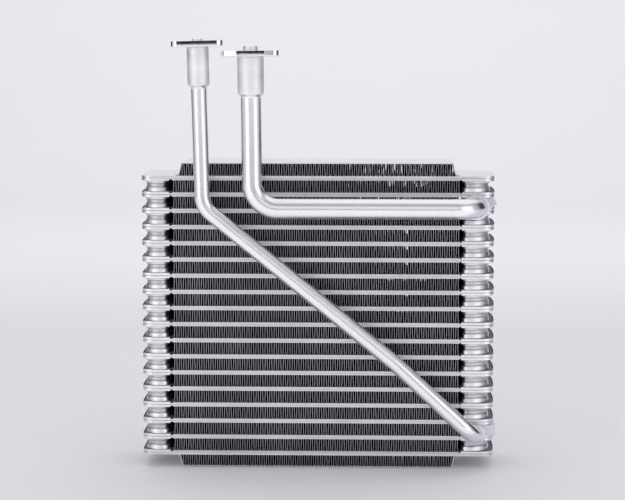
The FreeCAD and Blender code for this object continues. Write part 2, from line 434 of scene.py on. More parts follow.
@dataclass(frozen=True)
class Stack:
    """Sizes that the whole core shares, in millimetres.

    Args:
        half_length: Half the length of a level, without the bulge.
        half_depth: Half its depth.
        left_tank: Length of the left tank.
        right_tank: Length of the right tank.
        left_gap: From the left tank to the fin zone.
        right_gap: From the right tank to the fin zone.
        end_crowns: How far the corners of the left and right end stay back.
        end_bulges: How far the middles of these ends stand out.
        end_stations: Shares of the half depth at which their plan is set.
        corner: Radius of a level's corners.
        pair: Thickness of a pair in the fin zone.
        rim: Its thickness at the tanks.
        flange: Its thickness at the seam flange.
        pitch: From one level to the next.
        lowest_seam: Height of the lowest seam.
        levels: Number of levels.
        port_gaps: The levels below which a port enters the right tank.
        end_thickness: Thickness of the end plates.
        side_thickness: Thickness of the side plates.
    """

    half_length: float = 113.0
    half_depth: float = 29.0
    left_tank: float = 18.4
    right_tank: float = 20.4
    left_gap: float = 1.8
    right_gap: float = 1.0
    end_crowns: tuple[float, float] = (0.4, 1.4)
    end_bulges: tuple[float, float] = (0.0, 1.2)
    end_stations: tuple[float, ...] = (-0.66, -0.33, 0.0, 0.33, 0.66)
    corner: float = 6.5
    pair: float = 2.8
    rim: float = 3.6
    flange: float = 1.5
    pitch: float = 10.45
    lowest_seam: float = 9.6
    levels: int = 18
    port_gaps: tuple[int, int] = (2, 16)
    end_thickness: float = 1.5
    side_thickness: float = 0.8

    def seam(self, level: int) -> float:
        """Height of a level's seam, level 1 at the top."""
        return self.lowest_seam + (self.levels - level) * self.pitch

    def tank_edge(self, side: Side) -> float:
        """X of a tank's inner edge."""
        length = self.left_tank if side is Side.LEFT else self.right_tank
        return side.value * (self.half_length - length)

    def fin_edge(self, side: Side) -> float:
        """X of the end of the fin zone."""
        gap = self.left_gap if side is Side.LEFT else self.right_gap
        return self.tank_edge(side) - side.value * gap


STACK = Stack()


# Finishes


class Wiring:
    """Adds and joins the nodes of one shader tree."""

    def __init__(self, tree: bpy.types.NodeTree) -> None:
        """Takes over a tree.

        Args:
            tree: The nodes of a material or of a group.
        """
        self.tree = tree

    def add(self, kind: str) -> bpy.types.Node:
        """Adds a shader node by the end of its type's name."""
        return self.tree.nodes.new("ShaderNode" + kind)

    def feed(self, target: bpy.types.NodeSocket, source: bpy.types.NodeSocket | float) -> None:
        """Links a socket to another one, or sets its value.

        Args:
            target: The socket to feed.
            source: An output socket or a number.
        """
        if isinstance(source, bpy.types.NodeSocket):
            self.tree.links.new(source, target)
        else:
            target.default_value = source

    def reckon(
        self, operation: str, *values: bpy.types.NodeSocket | float
    ) -> bpy.types.NodeSocket:
        """Adds a Math node.

        Args:
            operation: What it does.
            *values: Sockets or numbers that go in.

        Returns:
            The result.
        """
        node = self.add("Math")
        node.operation = operation
        for target, value in zip(node.inputs, values):
            self.feed(target, value)
        return node.outputs[0]

    def ramp(
        self, value: bpy.types.NodeSocket, low: float, high: float, falling: bool = False
    ) -> bpy.types.NodeSocket:
        """Adds a mask that goes from zero to one, or back, between two values.

        Args:
            value: What is compared.
            low: Where the change starts.
            high: Where it ends.
            falling: Whether the mask goes from one to zero.

        Returns:
            The mask.
        """
        node = self.add("MapRange")
        node.inputs["From Min"].default_value = low
        node.inputs["From Max"].default_value = high
        node.inputs["To Min"].default_value = float(falling)
        node.inputs["To Max"].default_value = float(not falling)
        self.feed(node.inputs["Value"], value)
        return node.outputs["Result"]

    def blend(
        self,
        factor: bpy.types.NodeSocket,
        first: bpy.types.NodeSocket | Colour,
        second: bpy.types.NodeSocket | Colour,
        kind: str = "MIX",
    ) -> bpy.types.NodeSocket:
        """Mixes two colours.

        Args:
            factor: Share of the second one.
            first: A colour or its socket.
            second: A colour or its socket.
            kind: How they mix.

        Returns:
            The mixed colour.
        """
        node = self.add("Mix")
        node.data_type = "RGBA"
        node.blend_type = kind
        self.feed(node.inputs["Factor"], factor)
        for number, colour in ((6, first), (7, second)):
            if isinstance(colour, tuple):
                colour = (*colour, 1.0)
            self.feed(node.inputs[number], colour)
        return node.outputs[2]

    def parts(self, vector: bpy.types.NodeSocket) -> bpy.types.NodeOutputs:
        """Splits a vector into its X, Y and Z.

        Args:
            vector: The vector to split.

        Returns:
            Sockets named X, Y and Z.
        """
        node = self.add("SeparateXYZ")
        self.feed(node.inputs[0], vector)
        return node.outputs


class SatinGrain:
    """Node group: cloudy colour, uneven roughness and a fine grain."""

    NAME = "satin_grain"
    FINE_DETAIL = 4.0
    FINE_SHARE = 0.45
    CLOUD_DETAIL = 3.0
    CLOUD_SCALE = 55.0
    RANGE = (0.45, 0.95)

    @classmethod
    def group(cls) -> bpy.types.NodeTree:
        """Builds the group once.

        Returns:
            The group, with Vector, Colour, Shade, Roughness, Spread and Scale going in.
        """
        if cls.NAME in bpy.data.node_groups:
            return bpy.data.node_groups[cls.NAME]
        tree = bpy.data.node_groups.new(cls.NAME, "ShaderNodeTree")
        for name, way, kind in (
            ("Vector", "INPUT", "Vector"),
            ("Colour", "INPUT", "Color"),
            ("Shade", "INPUT", "Color"),
            ("Roughness", "INPUT", "Float"),
            ("Spread", "INPUT", "Float"),
            ("Scale", "INPUT", "Float"),
            ("Colour", "OUTPUT", "Color"),
            ("Roughness", "OUTPUT", "Float"),
            ("Height", "OUTPUT", "Float"),
        ):
            tree.interface.new_socket(name, in_out=way, socket_type="NodeSocket" + kind)
        wiring = Wiring(tree)
        entry = tree.nodes.new("NodeGroupInput").outputs
        out = tree.nodes.new("NodeGroupOutput").inputs
        fine = wiring.add("TexNoise")
        fine.inputs["Detail"].default_value = cls.FINE_DETAIL
        wiring.feed(fine.inputs["Vector"], entry["Vector"])
        wiring.feed(fine.inputs["Scale"], entry["Scale"])
        cloud = wiring.add("TexNoise")
        cloud.inputs["Detail"].default_value = cls.CLOUD_DETAIL
        wiring.feed(cloud.inputs["Vector"], entry["Vector"])
        wiring.feed(cloud.inputs["Scale"], cls.CLOUD_SCALE)
        both = wiring.reckon(
            "MULTIPLY_ADD", fine.outputs["Fac"], cls.FINE_SHARE, cloud.outputs["Fac"]
        )
        spread = wiring.ramp(both, *cls.RANGE)
        centred = wiring.reckon("SUBTRACT", spread, 0.5)
        rough = wiring.reckon("MULTIPLY_ADD", centred, entry["Spread"], entry["Roughness"])
        wiring.feed(out["Colour"], wiring.blend(spread, entry["Shade"], entry["Colour"]))
        wiring.feed(out["Roughness"], rough)
        wiring.feed(out["Height"], fine.outputs["Fac"])
        return tree


@dataclass(frozen=True)
class Finish:
    """Bare aluminium with a satin grain.

    Args:
        name: Name of the material.
        colour: Its lighter colour.
        shade: Its darker colour.
        roughness: Middle roughness.
        spread: How much the roughness varies.
        scale: Fineness of the grain.
        relief: Height of the grain in millimetres.
        stretch: Scale of the grain along X, Y and Z.
    """

    name: str
    colour: Colour
    shade: Colour
    roughness: float
    spread: float = 0.12
    scale: float = 900.0
    relief: float = 0.01
    stretch: Triple = (1.0, 1.0, 1.0)

    def material(self) -> bpy.types.Material:
        """Builds the material once.

        Returns:
            The finished material.
        """
        if self.name in bpy.data.materials:
            return bpy.data.materials[self.name]
        made = bpy.data.materials.new(self.name)
        made.use_nodes = True
        wiring = Wiring(made.node_tree)
        shader = made.node_tree.nodes["Principled BSDF"]
        shader.inputs["Metallic"].default_value = 1.0
        where = wiring.add("TexCoord")
        place = wiring.add("Mapping")
        place.inputs["Scale"].default_value = self.stretch
        wiring.feed(place.inputs["Vector"], where.outputs["Object"])
        grain = wiring.add("Group")
        grain.node_tree = SatinGrain.group()
        grain.inputs["Colour"].default_value = (*self.colour, 1.0)
        grain.inputs["Shade"].default_value = (*self.shade, 1.0)
        grain.inputs["Roughness"].default_value = self.roughness
        grain.inputs["Spread"].default_value = self.spread
        grain.inputs["Scale"].default_value = self.scale
        wiring.feed(grain.inputs["Vector"], place.outputs["Vector"])
        bump = wiring.add("Bump")
        bump.inputs["Distance"].default_value = self.relief * MM
        bump.inputs["Strength"].default_value = 1.0
        wiring.feed(bump.inputs["Height"], grain.outputs["Height"])
        wiring.feed(shader.inputs["Normal"], bump.outputs["Normal"])
        wiring.feed(shader.inputs["Roughness"], grain.outputs["Roughness"])
        colour = self.tone(wiring, where.outputs["Object"], grain.outputs["Colour"])
        wiring.feed(shader.inputs["Base Color"], colour)
        return made

    def tone(
        self, wiring: Wiring, place: bpy.types.NodeSocket, colour: bpy.types.NodeSocket
    ) -> bpy.types.NodeSocket:
        """Gives the colour as it is; other finishes change it by place.

        Args:
            wiring: The material's nodes.
            place: Object coordinates.
            colour: Colour of the grain.

        Returns:
            The socket that feeds the base colour.
        """
        return colour


@dataclass(frozen=True)
class FinStrip(Finish):
    """Thin folded strip: pale at its open edges, with painted shade making it dark between the
    folds.

    Args:
        edge: Half depth of the strip, in millimetres.
        reach: How far in the pale edge goes.
        inside: Colour of the painted shade between the folds.
    """

    edge: float = 26.5
    reach: float = 0.35
    # Near-black colour of the painted shade between the folds
    inside: Colour = (0.006, 0.006, 0.008)

    def tone(
        self, wiring: Wiring, place: bpy.types.NodeSocket, colour: bpy.types.NodeSocket
    ) -> bpy.types.NodeSocket:
        """Paints shade: darkens the colour away from the open edges, between the folds.

        Args:
            wiring: The material's nodes.
            place: Object coordinates.
            colour: Colour of the grain.

        Returns:
            The socket that feeds the base colour.
        """
        shader = wiring.tree.nodes["Principled BSDF"]
        shader.inputs["Specular IOR Level"].default_value = 0.0
        # Painted shade between the folds: the colour fades to near black away from the open edges
        depth = wiring.reckon("ABSOLUTE", wiring.parts(place)["Y"])
        fade = wiring.ramp(depth, (self.edge - self.reach) * MM, self.edge * MM)
        wiring.feed(shader.inputs["Metallic"], fade)
        return wiring.blend(fade, self.inside, colour)


@dataclass(frozen=True)
class BrazedSheet(Finish):
    """Brazed plate: banded at the tanks by its dark seam, a darker collar and painted shade,
    greyer between the fins, with painted shade inside and on the ledges and a painted dark
    reflection on the ends' edge.

    Args:
        core_edge: X where the fins end, in millimetres.
        core_fade: Length of the change there.
        fin_zone_darkening: Factor that darkens the colour between the fins.
        hollow_edge: X within which shade is painted on the inside of the core.
        hollow_edge_fade: Length of the change there.
        hollow_front: Half depth of that painted shade inside.
        hollow_front_fade: Length of the change there.
        hollow_painted_shade: Factor of the painted shade there.
        ledge_painted_shade: Factor of the painted shade on level upper faces.
        ledge_facing: Share of the upward direction from which a face is level.
        ledge_roughness: Roughness where the ledges and the ends' upper edge are painted dark.
        outline_painted_reflection: Factor of the painted dark reflection on the upper edge round
            the ends of the level.
        outline_facing: Share of the upward direction from which it is upper.
        outline_edge: Distance outside which that edge lies.
        outline_fade: Length of the change there.
        outline_middle: X from which that distance counts, as the right end reaches further.
        seam_and_shade_bands: Factors by height, as shares of the pitch above a seam: the dark seam
            line, a darker collar, and painted shade in the creases and on the hanging dome.
    """

    core_edge: float = 92.0
    core_fade: float = 3.0
    fin_zone_darkening: Colour = (0.80, 0.80, 0.81)
    hollow_edge: float = 93.5
    hollow_edge_fade: float = 4.0
    hollow_front: float = 22.0
    hollow_front_fade: float = 10.0
    hollow_painted_shade: Colour = (0.34, 0.34, 0.36)
    ledge_painted_shade: Colour = (0.26, 0.26, 0.29)
    ledge_facing: tuple[float, float] = (0.80, 0.98)
    ledge_roughness: float = 0.95
    outline_painted_reflection: Colour = (0.10, 0.10, 0.12)
    outline_facing: tuple[float, float] = (0.25, 0.45)
    outline_edge: float = 112.4
    outline_fade: float = 0.4
    outline_middle: float = 0.7
    seam_and_shade_bands: tuple[tuple[float, float], ...] = (
        (0.000, 0.60),
        (0.012, 0.60),
        (0.026, 1.00),
        (0.165, 1.00),
        (0.178, 0.84),
        (0.200, 1.00),
        (0.430, 0.95),
        (0.455, 0.50),
        (0.480, 0.68),
        (0.630, 0.66),
        (0.655, 0.48),
        (0.680, 0.84),
        (0.800, 0.84),
        (0.835, 1.00),
        (0.974, 1.00),
        (0.988, 0.60),
    )

    def tone(
        self, wiring: Wiring, place: bpy.types.NodeSocket, colour: bpy.types.NodeSocket
    ) -> bpy.types.NodeSocket:
        """Bands the tanks with the dark seam, the darker collar and painted shade, darkens the fin
        zone, and paints shade on the ledges and the inside and a dark reflection on the ends'
        edge.

        Args:
            wiring: The material's nodes.
            place: Object coordinates.
            colour: Colour of the grain.

        Returns:
            The socket that feeds the base colour.
        """
        along = wiring.reckon("ABSOLUTE", wiring.parts(place)["X"])
        deep = wiring.reckon("ABSOLUTE", wiring.parts(place)["Y"])
        core = self._within(wiring, along, self.core_edge, self.core_fade)
        # Painted shade in the hollow between the tanks and the fins, deep inside the core
        hollow_painted_shade = wiring.reckon(
            "MULTIPLY",
            self._within(wiring, along, self.hollow_edge, self.hollow_edge_fade),
            self._within(wiring, deep, self.hollow_front, self.hollow_front_fade),
        )
        facing = wiring.parts(wiring.add("NewGeometry").outputs["Normal"])["Z"]
        # Painted shade on the upward faces of the ledges, which also lose their gloss
        ledge_painted_shade = wiring.ramp(facing, *self.ledge_facing)
        # Painted dark reflection along the upper edge round the ends of the level
        upper = wiring.ramp(facing, *self.outline_facing)
        edge = wiring.reckon("MULTIPLY", upper, self._beyond(wiring, place))
        self._mat(wiring, wiring.reckon("MAXIMUM", ledge_painted_shade, edge))
        # Dark seam line and darker collar, with painted shade in the creases and on the hanging
        # dome
        colour = self._banded(wiring, place, colour, core)
        # Darker fin zone, then painted shade on the ledges, a painted dark reflection on the ends'
        # edge and painted shade in the hollow
        for mask, factor in (
            (core, self.fin_zone_darkening),
            (ledge_painted_shade, self.ledge_painted_shade),
            (edge, self.outline_painted_reflection),
            (hollow_painted_shade, self.hollow_painted_shade),
        ):
            colour = wiring.blend(mask, colour, factor, "MULTIPLY")
        return colour

    def _beyond(self, wiring: Wiring, place: bpy.types.NodeSocket) -> bpy.types.NodeSocket:
        """Mask of the ends of the level.

        Args:
            wiring: The material's nodes.
            place: Object coordinates.

        Returns:
            One at the ends, zero between them.
        """
        offset = wiring.reckon("SUBTRACT", wiring.parts(place)["X"], self.outline_middle * MM)
        outward = wiring.reckon("ABSOLUTE", offset)
        low = self.outline_edge - self.outline_fade / 2
        return wiring.ramp(outward, low * MM, (low + self.outline_fade) * MM)

    def _mat(self, wiring: Wiring, mask: bpy.types.NodeSocket) -> None:
        """Takes the metal's gloss off the faces that are painted dark.

        Args:
            wiring: The material's nodes.
            mask: Where the ledges and the ends' upper edge are painted dark.
        """
        shader = wiring.tree.nodes["Principled BSDF"]
        wiring.feed(shader.inputs["Metallic"], wiring.reckon("SUBTRACT", 1.0, mask))
        rough = wiring.add("Mix")
        wiring.feed(rough.inputs["Factor"], mask)
        wiring.feed(rough.inputs["A"], shader.inputs["Roughness"].links[0].from_socket)
        wiring.feed(rough.inputs["B"], self.ledge_roughness)
        wiring.feed(shader.inputs["Roughness"], rough.outputs["Result"])

    def _banded(
        self,
        wiring: Wiring,
        place: bpy.types.NodeSocket,
        colour: bpy.types.NodeSocket,
        core: bpy.types.NodeSocket,
    ) -> bpy.types.NodeSocket:
        """Darkens the seam line and the collar and paints shade in the creases and on the hanging
        dome of each level outside the fins.

        Args:
            wiring: The material's nodes.
            place: Object coordinates.
            colour: The colour so far.
            core: Mask of the fin zone.

        Returns:
            The darkened colour.
        """
        level = wiring.add("MapRange")
        level.clamp = False
        level.inputs["From Min"].default_value = STACK.lowest_seam * MM
        level.inputs["From Max"].default_value = (STACK.lowest_seam + STACK.pitch) * MM
        wiring.feed(level.inputs["Value"], wiring.parts(place)["Z"])
        scale = wiring.add("ValToRGB")
        stops = scale.color_ramp.elements
        while len(stops) < len(self.seam_and_shade_bands):
            stops.new(0.5)
        for stop, (height, factor) in zip(stops, self.seam_and_shade_bands):
            stop.position = height
            stop.color = (factor, factor, factor, 1.0)
        wiring.feed(scale.inputs["Fac"], wiring.reckon("FRACT", level.outputs["Result"]))
        tank = wiring.reckon("SUBTRACT", 1.0, core)
        return wiring.blend(tank, colour, scale.outputs["Color"], "MULTIPLY")

    @staticmethod
    def _within(
        wiring: Wiring, value: bpy.types.NodeSocket, edge: float, fade: float
    ) -> bpy.types.NodeSocket:
        """Mask that is one below an edge in millimetres and zero above it."""
        return wiring.ramp(value, (edge - fade / 2) * MM, (edge + fade / 2) * MM, True)


@dataclass(frozen=True)
class Plain:
    """Even colour of what stands round the core.

    Args:
        name: Name of the material.
        colour: Its colour.
        roughness: Its roughness.
        sheen: Level of its reflection.
    """

    name: str
    colour: Colour
    roughness: float
    sheen: float = 0.5

    def material(self) -> bpy.types.Material:
        """Builds the material.

        Returns:
            The finished material.
        """
        made = bpy.data.materials.new(self.name)
        made.use_nodes = True
        shader = made.node_tree.nodes["Principled BSDF"]
        shader.inputs["Base Color"].default_value = (*self.colour, 1.0)
        shader.inputs["Roughness"].default_value = self.roughness
        shader.inputs["Specular IOR Level"].default_value = self.sheen
        return made


BRAZED = BrazedSheet(
    "brazed_sheet", (0.885, 0.885, 0.91), (0.77, 0.77, 0.80), 0.38, scale=700.0
)
END_SHEET = Finish("end_sheet", (0.82, 0.82, 0.84), (0.72, 0.72, 0.75), 0.32, scale=800.0)
EDGE_SHEET = Finish("side_sheet", (0.86, 0.86, 0.88), (0.74, 0.74, 0.77), 0.36, scale=800.0)
DRAWN = Finish(
    "drawn_tube",
    (0.835, 0.835, 0.855),
    (0.79, 0.79, 0.815),
    0.25,
    spread=0.04,
    scale=600.0,
    relief=0.0006,
)
SWAGED = Finish(
    "swaged_end",
    (0.90, 0.90, 0.915),
    (0.78, 0.78, 0.80),
    0.56,
    spread=0.14,
    scale=700.0,
    relief=0.02,
    stretch=(0.2, 0.2, 2.2),
)
MACHINED = Finish(
    "machined_plate",
    (0.92, 0.92, 0.94),
    (0.86, 0.86, 0.89),
    0.07,
    spread=0.04,
    scale=1200.0,
    relief=0.002,
)
BLOCK = Finish("port_block", (0.76, 0.76, 0.80), (0.60, 0.60, 0.65), 0.45, scale=800.0)
STRIP = FinStrip(
    "fin_strip", (0.48, 0.48, 0.50), (0.29, 0.29, 0.31), 0.38, spread=0.15, scale=1500.0
)


# Core


def outline_sheet(name: str, bottom: float, top: float) -> Workpiece:
    """Sheet with the plan of a level: crowned ends and round corners.

    Args:
        name: Name of the object.
        bottom: Its lower height.
        top: Its upper height.

    Returns:
        The sheet.
    """
    half, depth = STACK.half_length, STACK.half_depth
    sheet = Workpiece.block(name, (-half, -depth, bottom), (half, depth, top))
    stations = [depth * share for share in STACK.end_stations]
    with sheet.editing():
        sheet.cut(1, stations)
        for place in [-depth, *stations, depth]:
            for side, crown, bulge in zip((-1, 1), STACK.end_crowns, STACK.end_bulges):
                pull = crown * (place / depth) ** 2 - bulge
                sheet.points(
                    lambda p, s=side, y=place: s * p.x > half - 2 * NEAR and abs(p.y - y) < NEAR
                )
                sheet.slide((-side * pull, 0.0, 0.0))
        sheet.edges(
            lambda m, d: abs(d.z) > ALONG and abs(abs(m.y) - depth) < 2 * NEAR
        )
        sheet.bevel(STACK.corner, 7)
    return sheet


@dataclass
class StampedPlate:
    """One stamped plate: seam flange, raised tank rims, raised fin zone and drawn cups.

    Args:
        half: Above or below its seam.
        cups: The sides that have a cup.
        cup_inner_corners: Radius of a cup's inner corners, left and right.
        cup_flat: Flat left between its inner and outer corners.
        belly: How far the middle of its inner wall swells.
        upper_belly: Share of that by which its upper part swells once more.
        upper_height: Height over the rim from which it does.
        swell_start: Y up to which the wall swells fully.
        swell_end: Y from which it stays.
        rim_round: Round of the rims' upper edges.
        groove: How far the plate's edge stays back at the seam.
        zone_round: Round of the fin zone's upper edges.
        seam_round: Round of the long sides at the seam.
        seam_round_from: Y from which the seam is round.
        cup_outer_inset: From the rim's end to the cup.
        cup_inner_insets: From the tank's inner edge to the cup, left and right.
        cup_front_inset: From the rim's front to the cup.
        cup_root: How deep the cup starts in the rim.
        channel: Half depth of the necks between the tanks and the fin zone.
    """

    half: Half
    cups: tuple[Side, ...] = (Side.LEFT, Side.RIGHT)
    cup_inner_corners: tuple[float, float] = (6.5, 5.0)
    cup_flat: float = 0.3
    belly: float = 1.4
    upper_belly: float = 0.6
    upper_height: float = 1.6
    swell_start: float = 14.0
    swell_end: float = 18.5
    rim_round: float = 0.45
    groove: float = 0.14
    zone_round: float = 0.35
    seam_round: float = 0.16
    seam_round_from: float = 20.0
    cup_outer_inset: float = 2.0
    cup_inner_insets: tuple[float, float] = (0.4, 0.0)
    cup_front_inset: float = 2.0
    cup_root: float = 0.3
    channel: float = 19.0

    STANDING = (
        (0.10, 0.25),
        (0.08, 0.70),
        (0.14, 1.05),
        (0.22, 0.55),
        (0.38, 0.40),
        (0.25, 0.05),
    )
    HANGING = ((0.12, 0.25), (0.12, 0.65), (0.20, 0.60), (0.38, 0.30), (0.32, 0.05))
    COLLAR = 1.0

    def build(self, name: str) -> Workpiece:
        """Builds the plate with its seam at height zero.

        Args:
            name: Name of the object.

        Returns:
            The plate.
        """
        plate = self._sheet(name)
        plate.join([self._cup(side) for side in self.cups])
        if self.half is Half.LOWER:
            plate.turn_over(0.0)
        return plate

    def _sheet(self, name: str) -> Workpiece:
        """Shapes the flange, the rims and the fin zone.

        Args:
            name: Name of the object.

        Returns:
            The plate without its cups.
        """
        top = STACK.flange / 2
        sheet = outline_sheet(name, 0.0, top)
        left = (STACK.tank_edge(Side.LEFT), STACK.fin_edge(Side.LEFT))
        right = (STACK.fin_edge(Side.RIGHT), STACK.tank_edge(Side.RIGHT))
        with sheet.editing():
            sheet.cut(0, [*left, *right])
            sheet.cut(1, [-self.channel, self.channel])
            for low, high, reach, height in (
                (-math.inf, left[0], math.inf, STACK.rim),
                (right[1], math.inf, math.inf, STACK.rim),
                (left[1], right[0], math.inf, STACK.pair),
                (*left, self.channel, STACK.pair),
                (*right, self.channel, STACK.pair),
            ):
                sheet.faces(
                    lambda m, n, a=low, b=high, y=reach: n.z > ALONG
                    and a < m.x < b
                    and abs(m.y) < y
                )
                sheet.extrude((0.0, 0.0, height / 2 - top))
        sheet.tidy()
        with sheet.editing():
            for height, share in ((top, 0.7), (0.0, 0.3)):
                sheet.points(lambda p, z=height: p.z < z + NEAR and abs(p.x) > right[1] - 2 * NEAR)
                pull = self.groove * share
                factors = (1 - pull / STACK.half_length, 1 - pull / STACK.half_depth, 1.0)
                sheet.stretch(factors, Vector())
            sheet.sharp_edges(lambda m: m.z > STACK.rim / 2 - NEAR)
            sheet.bevel(self.rim_round, 3)
            sheet.sharp_edges(
                lambda m: abs(m.z - STACK.pair / 2) < NEAR and left[1] < m.x < right[0]
            )
            sheet.bevel(self.zone_round, 2)
            sheet.sharp_edges(lambda m: m.z < NEAR and abs(m.y) > self.seam_round_from)
            sheet.bevel(self.seam_round, 1)
        return sheet

    def _cup(self, side: Side) -> Workpiece:
        """Draws one cup up from the rim.

        Args:
            side: The end of the core where it stands.

        Returns:
            The cup.
        """
        hand = 0 if side is Side.LEFT else 1
        corner = self.cup_inner_corners[hand]
        outer = side.value * (STACK.half_length - self.cup_outer_inset)
        inner = STACK.tank_edge(side) + side.value * self.cup_inner_insets[hand]
        reach = STACK.half_depth - self.cup_front_inset
        top = STACK.rim / 2
        low = (min(outer, inner), -reach, top - self.cup_root)
        cup = Workpiece.block(f"cup_{side.name.lower()}", low, (max(outer, inner), reach, top))
        with cup.editing():
            middle = (outer + inner) / 2 * side.value
            cup.edges(lambda m, d: abs(d.z) > ALONG and m.x * side.value > middle)
            cup.bevel(abs(outer - inner) - corner - self.cup_flat, 9)
            cup.edges(
                lambda m, d: abs(d.z) > ALONG
                and abs(m.x - inner) < NEAR
                and abs(m.y) > reach - 2 * NEAR
            )
            cup.bevel(corner, 8)
            cup.cut(1, [-self.swell_end, -self.swell_start, self.swell_start, self.swell_end])
            self._swell(cup, side, inner, self.belly, 0.0)
            cup.faces(lambda m, n: n.z > ALONG)
            for thickness, rise in self.STANDING if self.half is Half.UPPER else self.HANGING:
                cup.inset(thickness, rise)
            cup.extrude((0.0, 0.0, self.COLLAR))
            self._swell(cup, side, inner, self.belly * self.upper_belly, self.upper_height)
        return cup

    def _swell(
        self, cup: Workpiece, side: Side, inner: float, amount: float, above: float
    ) -> None:
        """Pushes the middle of the cup's inner wall towards the fins.

        Args:
            cup: The cup.
            side: Its end of the core.
            inner: X of its inner wall.
            amount: How far the wall goes.
            above: Height over the rim from which it goes.
        """
        floor = STACK.rim / 2 + above - 0.4
        cup.points(
            lambda p: (p.x - inner) * side.value < 1.3
            and abs(p.y) < self.swell_start + 0.5
            and p.z > floor
        )
        cup.slide((-side.value * amount, 0.0, 0.0))


@dataclass
class FlowPlates:
    """All the stamped plates and the end plates.

    Args:
        end_round: Round of the end plates' edges.
    """

    end_round: float = 0.35

    def build(self) -> list[str]:
        """Builds one pair of each kind and copies it to its levels.

        Returns:
            The names of the pieces.
        """
        finish = BRAZED.material()
        kinds = {
            "whole": self._pair("pair_whole", True, True),
            "open_below": self._pair("pair_open_below", True, False),
            "open_above": self._pair("pair_open_above", False, True),
        }
        names = []
        for level in range(2, STACK.levels):
            kind = "whole"
            if level in STACK.port_gaps:
                kind = "open_below"
            elif level - 1 in STACK.port_gaps:
                kind = "open_above"
            node = f"flow_plate_pair_{level:02d}"
            plate = kinds[kind].copy(f"stamped_pair_{level:02d}", (0.0, 0.0, STACK.seam(level)))
            plate.dress(finish, "plate", [node])
            names.append(plate.obj.name)
        for kind in kinds.values():
            kind.discard()
        names += self._outermost(finish)
        return names

    def _pair(self, name: str, cup_above: bool, cup_below: bool) -> Workpiece:
        """Joins an upper and a lower plate, without the right cup where a port is.

        Args:
            name: Name of the object.
            cup_above: Whether the upper plate has its right cup.
            cup_below: Whether the lower plate has its right cup.

        Returns:
            The pair.
        """
        both = (Side.LEFT, Side.RIGHT)
        upper = StampedPlate(Half.UPPER, both if cup_above else both[:1]).build(name)
        lower = StampedPlate(Half.LOWER, both if cup_below else both[:1]).build(name + "_low")
        upper.join([lower])
        upper.smooth()
        return upper

    def _outermost(self, finish: bpy.types.Material) -> list[str]:
        """Builds the single plates and the end plates at the top and at the bottom.

        Args:
            finish: The material of the single plates.

        Returns:
            The names of the pieces.
        """
        names = []
        for level, half, word in ((1, Half.LOWER, "top"), (STACK.levels, Half.UPPER, "bottom")):
            seam = STACK.seam(level)
            single = StampedPlate(half).build(f"stamped_plate_{word}")
            single.seat(Matrix.Translation((0.0, 0.0, seam * MM)))
            single.smooth()
            single.dress(finish, "plate", [f"flow_plate_{word}"])
            away = -half.value
            ends = sorted((seam, seam + away * STACK.end_thickness))
            cover = outline_sheet(f"end_sheet_{word}", ends[0], ends[1])
            cover.tidy()
            cover.ease(self.end_round, 3)
            cover.smooth()
            cover.settle()
            cover.dress(END_SHEET.material(), "plate", [f"end_plate_{word}"])
            names += [single.obj.name, cover.obj.name]
        return names


